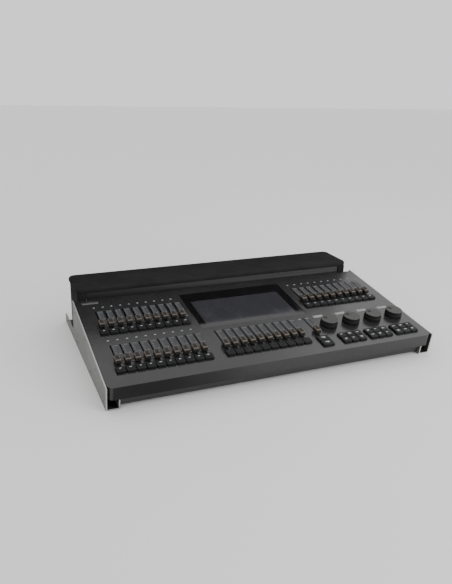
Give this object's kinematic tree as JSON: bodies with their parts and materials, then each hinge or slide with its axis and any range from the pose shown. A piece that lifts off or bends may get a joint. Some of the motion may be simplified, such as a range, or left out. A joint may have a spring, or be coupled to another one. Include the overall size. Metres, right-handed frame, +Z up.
{
  "type": "lighting control desk",
  "caption": "Wedge-shaped stage lighting desk with fader banks, a master fader, encoder wheels, key rows, a touch screen and a hooded rear connector bay.",
  "frame": {"origin": "on the surface that the desk stands on, under the middle of its outline", "axes": "+X to the operator's right, +Y away from the operator to the rear, +Z up"},
  "size_m": [0.752, 0.458, 0.12],
  "materials": {
    "panel_paint": "fine satin dark grey powder coat",
    "cheek_paint": "satin light grey powder coat",
    "pan_paint": "satin near-black powder coat",
    "cap_plastic": "semi-matt dark brown-black, worn lighter at the ridges",
    "key_silicone": "matt dark grey silicone",
    "knob_plastic": "soft-touch dark grey",
    "screen_glass": "glossy black cover over a dark display",
    "hood_skin": "fine-grained matt black",
    "circuit_board": "green solder mask",
    "supply_case": "bright sheet",
    "socket_plate": "satin black",
    "rocker_plastic": "semi-gloss black"
  },
  "bodies": {
    "desk": {"top_panel": "panel_paint", "touch_screen": "screen_glass", "control_board": "circuit_board", "bottom_pan": "pan_paint", "side_cheek_left": "cheek_paint", "side_cheek_right": "cheek_paint", "rear_hood": "hood_skin", "rear_io_plate": "socket_plate", "power_supply": "supply_case"},
    "fader_cap_a01": {"fader_cap_a01": "cap_plastic"},
    "fader_cap_a02": {"fader_cap_a02": "cap_plastic"},
    "fader_cap_a03": {"fader_cap_a03": "cap_plastic"},
    "fader_cap_a04": {"fader_cap_a04": "cap_plastic"},
    "fader_cap_a05": {"fader_cap_a05": "cap_plastic"},
    "fader_cap_a06": {"fader_cap_a06": "cap_plastic"},
    "fader_cap_a07": {"fader_cap_a07": "cap_plastic"},
    "fader_cap_a08": {"fader_cap_a08": "cap_plastic"},
    "fader_cap_a09": {"fader_cap_a09": "cap_plastic"},
    "fader_cap_a10": {"fader_cap_a10": "cap_plastic"},
    "fader_cap_b01": {"fader_cap_b01": "cap_plastic"},
    "fader_cap_b02": {"fader_cap_b02": "cap_plastic"},
    "fader_cap_b03": {"fader_cap_b03": "cap_plastic"},
    "fader_cap_b04": {"fader_cap_b04": "cap_plastic"},
    "fader_cap_b05": {"fader_cap_b05": "cap_plastic"},
    "fader_cap_b06": {"fader_cap_b06": "cap_plastic"},
    "fader_cap_b07": {"fader_cap_b07": "cap_plastic"},
    "fader_cap_b08": {"fader_cap_b08": "cap_plastic"},
    "fader_cap_b09": {"fader_cap_b09": "cap_plastic"},
    "fader_cap_b10": {"fader_cap_b10": "cap_plastic"},
    "fader_cap_c01": {"fader_cap_c01": "cap_plastic"},
    "fader_cap_c02": {"fader_cap_c02": "cap_plastic"},
    "fader_cap_c03": {"fader_cap_c03": "cap_plastic"},
    "fader_cap_c04": {"fader_cap_c04": "cap_plastic"},
    "fader_cap_c05": {"fader_cap_c05": "cap_plastic"},
    "fader_cap_c06": {"fader_cap_c06": "cap_plastic"},
    "fader_cap_c07": {"fader_cap_c07": "cap_plastic"},
    "fader_cap_c08": {"fader_cap_c08": "cap_plastic"},
    "fader_cap_c09": {"fader_cap_c09": "cap_plastic"},
    "fader_cap_c10": {"fader_cap_c10": "cap_plastic"},
    "fader_cap_d01": {"fader_cap_d01": "cap_plastic"},
    "fader_cap_d02": {"fader_cap_d02": "cap_plastic"},
    "fader_cap_d03": {"fader_cap_d03": "cap_plastic"},
    "fader_cap_d04": {"fader_cap_d04": "cap_plastic"},
    "fader_cap_d05": {"fader_cap_d05": "cap_plastic"},
    "fader_cap_d06": {"fader_cap_d06": "cap_plastic"},
    "fader_cap_d07": {"fader_cap_d07": "cap_plastic"},
    "fader_cap_d08": {"fader_cap_d08": "cap_plastic"},
    "fader_cap_d09": {"fader_cap_d09": "cap_plastic"},
    "fader_cap_d10": {"fader_cap_d10": "cap_plastic"},
    "fader_cap_master": {"fader_cap_master": "cap_plastic"},
    "key_mat_a": {"key_mat_a": "key_silicone"},
    "key_mat_b": {"key_mat_b": "key_silicone"},
    "key_mat_c": {"key_mat_c": "key_silicone"},
    "key_mat_d": {"key_mat_d": "key_silicone"},
    "key_mat_function": {"key_mat_function": "key_silicone"},
    "encoder_wheel_1": {"encoder_wheel_1": "knob_plastic"},
    "encoder_wheel_2": {"encoder_wheel_2": "knob_plastic"},
    "encoder_wheel_3": {"encoder_wheel_3": "knob_plastic"},
    "encoder_wheel_4": {"encoder_wheel_4": "knob_plastic"},
    "power_switch": {"power_switch": "rocker_plastic"}
  },
  "joints": [
    {"name": "fader_cap_a01_slide", "type": "slide", "parent": "desk", "child": "fader_cap_a01", "axis": [0, 0.9903, 0.1392], "range_m": [0, 0.06]},
    {"name": "fader_cap_a02_slide", "type": "slide", "parent": "desk", "child": "fader_cap_a02", "axis": [0, 0.9903, 0.1392], "range_m": [0, 0.06]},
    {"name": "fader_cap_a03_slide", "type": "slide", "parent": "desk", "child": "fader_cap_a03", "axis": [0, 0.9903, 0.1392], "range_m": [0, 0.06]},
    {"name": "fader_cap_a04_slide", "type": "slide", "parent": "desk", "child": "fader_cap_a04", "axis": [0, 0.9903, 0.1392], "range_m": [0, 0.06]},
    {"name": "fader_cap_a05_slide", "type": "slide", "parent": "desk", "child": "fader_cap_a05", "axis": [0, 0.9903, 0.1392], "range_m": [0, 0.06]},
    {"name": "fader_cap_a06_slide", "type": "slide", "parent": "desk", "child": "fader_cap_a06", "axis": [0, 0.9903, 0.1392], "range_m": [0, 0.06]},
    {"name": "fader_cap_a07_slide", "type": "slide", "parent": "desk", "child": "fader_cap_a07", "axis": [0, 0.9903, 0.1392], "range_m": [0, 0.06]},
    {"name": "fader_cap_a08_slide", "type": "slide", "parent": "desk", "child": "fader_cap_a08", "axis": [0, 0.9903, 0.1392], "range_m": [0, 0.06]},
    {"name": "fader_cap_a09_slide", "type": "slide", "parent": "desk", "child": "fader_cap_a09", "axis": [0, 0.9903, 0.1392], "range_m": [0, 0.06]},
    {"name": "fader_cap_a10_slide", "type": "slide", "parent": "desk", "child": "fader_cap_a10", "axis": [0, 0.9903, 0.1392], "range_m": [0, 0.06]},
    {"name": "fader_cap_b01_slide", "type": "slide", "parent": "desk", "child": "fader_cap_b01", "axis": [0, 0.9903, 0.1392], "range_m": [0, 0.06]},
    {"name": "fader_cap_b02_slide", "type": "slide", "parent": "desk", "child": "fader_cap_b02", "axis": [0, 0.9903, 0.1392], "range_m": [0, 0.06]},
    {"name": "fader_cap_b03_slide", "type": "slide", "parent": "desk", "child": "fader_cap_b03", "axis": [0, 0.9903, 0.1392], "range_m": [0, 0.06]},
    {"name": "fader_cap_b04_slide", "type": "slide", "parent": "desk", "child": "fader_cap_b04", "axis": [0, 0.9903, 0.1392], "range_m": [0, 0.06]},
    {"name": "fader_cap_b05_slide", "type": "slide", "parent": "desk", "child": "fader_cap_b05", "axis": [0, 0.9903, 0.1392], "range_m": [0, 0.06]},
    {"name": "fader_cap_b06_slide", "type": "slide", "parent": "desk", "child": "fader_cap_b06", "axis": [0, 0.9903, 0.1392], "range_m": [0, 0.06]},
    {"name": "fader_cap_b07_slide", "type": "slide", "parent": "desk", "child": "fader_cap_b07", "axis": [0, 0.9903, 0.1392], "range_m": [0, 0.06]},
    {"name": "fader_cap_b08_slide", "type": "slide", "parent": "desk", "child": "fader_cap_b08", "axis": [0, 0.9903, 0.1392], "range_m": [0, 0.06]},
    {"name": "fader_cap_b09_slide", "type": "slide", "parent": "desk", "child": "fader_cap_b09", "axis": [0, 0.9903, 0.1392], "range_m": [0, 0.06]},
    {"name": "fader_cap_b10_slide", "type": "slide", "parent": "desk", "child": "fader_cap_b10", "axis": [0, 0.9903, 0.1392], "range_m": [0, 0.06]},
    {"name": "fader_cap_c01_slide", "type": "slide", "parent": "desk", "child": "fader_cap_c01", "axis": [0, 0.9903, 0.1392], "range_m": [0, 0.06]},
    {"name": "fader_cap_c02_slide", "type": "slide", "parent": "desk", "child": "fader_cap_c02", "axis": [0, 0.9903, 0.1392], "range_m": [0, 0.06]},
    {"name": "fader_cap_c03_slide", "type": "slide", "parent": "desk", "child": "fader_cap_c03", "axis": [0, 0.9903, 0.1392], "range_m": [0, 0.06]},
    {"name": "fader_cap_c04_slide", "type": "slide", "parent": "desk", "child": "fader_cap_c04", "axis": [0, 0.9903, 0.1392], "range_m": [0, 0.06]},
    {"name": "fader_cap_c05_slide", "type": "slide", "parent": "desk", "child": "fader_cap_c05", "axis": [0, 0.9903, 0.1392], "range_m": [0, 0.06]},
    {"name": "fader_cap_c06_slide", "type": "slide", "parent": "desk", "child": "fader_cap_c06", "axis": [0, 0.9903, 0.1392], "range_m": [0, 0.06]},
    {"name": "fader_cap_c07_slide", "type": "slide", "parent": "desk", "child": "fader_cap_c07", "axis": [0, 0.9903, 0.1392], "range_m": [0, 0.06]},
    {"name": "fader_cap_c08_slide", "type": "slide", "parent": "desk", "child": "fader_cap_c08", "axis": [0, 0.9903, 0.1392], "range_m": [0, 0.06]},
    {"name": "fader_cap_c09_slide", "type": "slide", "parent": "desk", "child": "fader_cap_c09", "axis": [0, 0.9903, 0.1392], "range_m": [0, 0.06]},
    {"name": "fader_cap_c10_slide", "type": "slide", "parent": "desk", "child": "fader_cap_c10", "axis": [0, 0.9903, 0.1392], "range_m": [0, 0.06]},
    {"name": "fader_cap_d01_slide", "type": "slide", "parent": "desk", "child": "fader_cap_d01", "axis": [0, 0.9903, 0.1392], "range_m": [0, 0.06]},
    {"name": "fader_cap_d02_slide", "type": "slide", "parent": "desk", "child": "fader_cap_d02", "axis": [0, 0.9903, 0.1392], "range_m": [0, 0.06]},
    {"name": "fader_cap_d03_slide", "type": "slide", "parent": "desk", "child": "fader_cap_d03", "axis": [0, 0.9903, 0.1392], "range_m": [0, 0.06]},
    {"name": "fader_cap_d04_slide", "type": "slide", "parent": "desk", "child": "fader_cap_d04", "axis": [0, 0.9903, 0.1392], "range_m": [0, 0.06]},
    {"name": "fader_cap_d05_slide", "type": "slide", "parent": "desk", "child": "fader_cap_d05", "axis": [0, 0.9903, 0.1392], "range_m": [0, 0.06]},
    {"name": "fader_cap_d06_slide", "type": "slide", "parent": "desk", "child": "fader_cap_d06", "axis": [0, 0.9903, 0.1392], "range_m": [0, 0.06]},
    {"name": "fader_cap_d07_slide", "type": "slide", "parent": "desk", "child": "fader_cap_d07", "axis": [0, 0.9903, 0.1392], "range_m": [0, 0.06]},
    {"name": "fader_cap_d08_slide", "type": "slide", "parent": "desk", "child": "fader_cap_d08", "axis": [0, 0.9903, 0.1392], "range_m": [0, 0.06]},
    {"name": "fader_cap_d09_slide", "type": "slide", "parent": "desk", "child": "fader_cap_d09", "axis": [0, 0.9903, 0.1392], "range_m": [0, 0.06]},
    {"name": "fader_cap_d10_slide", "type": "slide", "parent": "desk", "child": "fader_cap_d10", "axis": [0, 0.9903, 0.1392], "range_m": [0, 0.06]},
    {"name": "fader_cap_master_slide", "type": "slide", "parent": "desk", "child": "fader_cap_master", "axis": [0, 0.9903, 0.1392], "range_m": [0, 0.06]},
    {"name": "key_mat_a_press", "type": "slide", "parent": "desk", "child": "key_mat_a", "axis": [0, 0.1392, -0.9903], "range_m": [0, 0.0015], "stiffness_N_per_m": 3000, "springref_m": -0.0008},
    {"name": "key_mat_b_press", "type": "slide", "parent": "desk", "child": "key_mat_b", "axis": [0, 0.1392, -0.9903], "range_m": [0, 0.0015], "stiffness_N_per_m": 3000, "springref_m": -0.0008},
    {"name": "key_mat_c_press", "type": "slide", "parent": "desk", "child": "key_mat_c", "axis": [0, 0.1392, -0.9903], "range_m": [0, 0.0015], "stiffness_N_per_m": 3000, "springref_m": -0.0008},
    {"name": "key_mat_d_press", "type": "slide", "parent": "desk", "child": "key_mat_d", "axis": [0, 0.1392, -0.9903], "range_m": [0, 0.0015], "stiffness_N_per_m": 3000, "springref_m": -0.0008},
    {"name": "key_mat_function_press", "type": "slide", "parent": "desk", "child": "key_mat_function", "axis": [0, 0.1392, -0.9903], "range_m": [0, 0.0015], "stiffness_N_per_m": 3000, "springref_m": -0.0008},
    {"name": "encoder_wheel_1_turn", "type": "hinge", "parent": "desk", "child": "encoder_wheel_1", "pos_m": [0.1575, -0.12997, 0.06342], "axis": [0, -0.1392, 0.9903], "continuous": true},
    {"name": "encoder_wheel_2_turn", "type": "hinge", "parent": "desk", "child": "encoder_wheel_2", "pos_m": [0.2175, -0.12997, 0.06342], "axis": [0, -0.1392, 0.9903], "continuous": true},
    {"name": "encoder_wheel_3_turn", "type": "hinge", "parent": "desk", "child": "encoder_wheel_3", "pos_m": [0.2775, -0.12997, 0.06342], "axis": [0, -0.1392, 0.9903], "continuous": true},
    {"name": "encoder_wheel_4_turn", "type": "hinge", "parent": "desk", "child": "encoder_wheel_4", "pos_m": [0.3375, -0.12997, 0.06342], "axis": [0, -0.1392, 0.9903], "continuous": true},
    {"name": "power_switch_rock", "type": "hinge", "parent": "desk", "child": "power_switch", "pos_m": [-0.284, 0.1125, 0.05], "axis": [1, 0, 0], "range_deg": [0, 14]}
  ]
}
